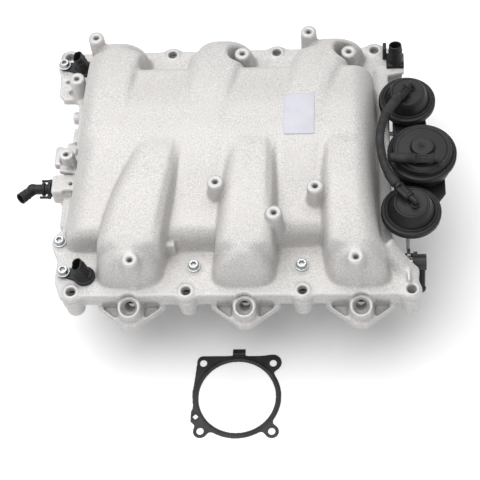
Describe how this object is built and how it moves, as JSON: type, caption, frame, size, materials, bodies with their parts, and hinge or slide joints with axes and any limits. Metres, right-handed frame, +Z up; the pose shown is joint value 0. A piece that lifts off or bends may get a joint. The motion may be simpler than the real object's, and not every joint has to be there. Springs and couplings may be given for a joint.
{
  "type": "intake manifold",
  "caption": "Cast two-shell V engine intake manifold with interleaved runners, plenum, tumble and changeover flaps on shafts, and vacuum actuators at one end.",
  "frame": {"origin": "centre of the plenum's flat underside, on the floor", "axes": "+X along the engine towards the actuators, +Y from the front bank to the rear bank, +Z up"},
  "size_m": [0.4215, 0.4036, 0.152],
  "materials": {
    "cast_alloy": "blasted sand casting, fine grain, machined boss tops",
    "black_plastic": "satin moulded glass-filled nylon",
    "rubber": "matt moulded rubber",
    "zinc_steel": "zinc plated",
    "bare_steel": "drawn wire and ground bar",
    "bronze": "sintered bush",
    "coated_steel": "thin black sealing coat on sheet steel",
    "label_film": "blank pale film",
    "inner_plastic": "moulded inner part"
  },
  "bodies": {
    "housing": {"upper_shell": "cast_alloy", "lower_shell": "cast_alloy", "shell_seal": "rubber", "runner_insert": "inner_plastic", "changeover_bush": "bronze", "tumble_bush_front_left": "bronze", "tumble_bush_front_right": "bronze", "tumble_bush_rear_left": "bronze", "tumble_bush_rear_right": "bronze", "actuator_base_front": "black_plastic", "actuator_cap_front": "black_plastic", "actuator_spring_front": "bare_steel", "actuator_base_changeover": "black_plastic", "actuator_cap_changeover": "black_plastic", "actuator_spring_changeover": "bare_steel", "actuator_base_rear": "black_plastic", "actuator_cap_rear": "black_plastic", "actuator_spring_rear": "bare_steel", "actuator_bracket": "black_plastic", "bracket_screw_1": "zinc_steel", "bracket_screw_2": "zinc_steel", "vacuum_hose": "rubber", "vacuum_connector_rear": "black_plastic", "vacuum_connector_front": "black_plastic", "changeover_hose_elbow": "rubber", "position_sensor_front": "black_plastic", "sensor_screw_front": "zinc_steel", "position_sensor_rear": "black_plastic", "sensor_screw_rear": "zinc_steel", "rear_sensor": "black_plastic", "elbow_fitting": "black_plastic", "shell_screw_left": "zinc_steel", "shell_screw_middle": "zinc_steel", "shell_screw_right": "zinc_steel", "port_gasket_front": "rubber", "port_gasket_rear": "rubber", "blank_label": "label_film"},
    "changeover": {"changeover_shaft": "bare_steel", "lever_changeover": "black_plastic", "changeover_flap_1": "inner_plastic", "changeover_flap_2": "inner_plastic", "changeover_flap_3": "inner_plastic", "changeover_flap_4": "inner_plastic", "changeover_flap_5": "inner_plastic", "changeover_flap_6": "inner_plastic"},
    "tumble_front": {"tumble_shaft_front": "bare_steel", "lever_front": "black_plastic", "tumble_flap_front_1": "inner_plastic", "tumble_flap_front_2": "inner_plastic", "tumble_flap_front_3": "inner_plastic"},
    "tumble_rear": {"tumble_shaft_rear": "bare_steel", "lever_rear": "black_plastic", "tumble_flap_rear_1": "inner_plastic", "tumble_flap_rear_2": "inner_plastic", "tumble_flap_rear_3": "inner_plastic"},
    "rod_front": {"actuator_rod_front": "bare_steel"},
    "rod_changeover": {"actuator_rod_changeover": "bare_steel"},
    "rod_rear": {"actuator_rod_rear": "bare_steel"},
    "gasket": {"throttle_gasket": "coated_steel"}
  },
  "joints": [
    {"name": "changeover_turn", "type": "hinge", "parent": "housing", "child": "changeover", "pos_m": [0, 0.005, 0.079], "axis": [-1, 0, 0], "range_deg": [0, 60]},
    {"name": "tumble_front_turn", "type": "hinge", "parent": "housing", "child": "tumble_front", "pos_m": [0, -0.101, 0.082], "axis": [1, 0, 0], "range_deg": [0, 60]},
    {"name": "tumble_rear_turn", "type": "hinge", "parent": "housing", "child": "tumble_rear", "pos_m": [0, 0.101, 0.082], "axis": [-1, 0, 0], "range_deg": [0, 60]},
    {"name": "rod_changeover_lift", "type": "slide", "parent": "housing", "child": "rod_changeover", "axis": [0, 0, 1], "range_m": [0, 0.014], "deforming": ["actuator_spring_changeover"]},
    {"name": "rod_front_lift", "type": "slide", "parent": "housing", "child": "rod_front", "axis": [0, 0, 1], "range_m": [0, 0.013], "deforming": ["actuator_spring_front"]},
    {"name": "rod_rear_lift", "type": "slide", "parent": "housing", "child": "rod_rear", "axis": [0, 0, 1], "range_m": [0, 0.013], "deforming": ["actuator_spring_rear"]},
    {"name": "gasket_lift_off", "type": "slide", "parent": "housing", "child": "gasket", "axis": [0, 0, 1], "range_m": [0, 0.05]}
  ],
  "couplings": [
    {"joint": "changeover_turn", "follows": "rod_changeover_lift", "rad_per_m": 74.79},
    {"joint": "tumble_front_turn", "follows": "rod_front_lift", "rad_per_m": 80.55},
    {"joint": "tumble_rear_turn", "follows": "rod_rear_lift", "rad_per_m": 80.55}
  ]
}
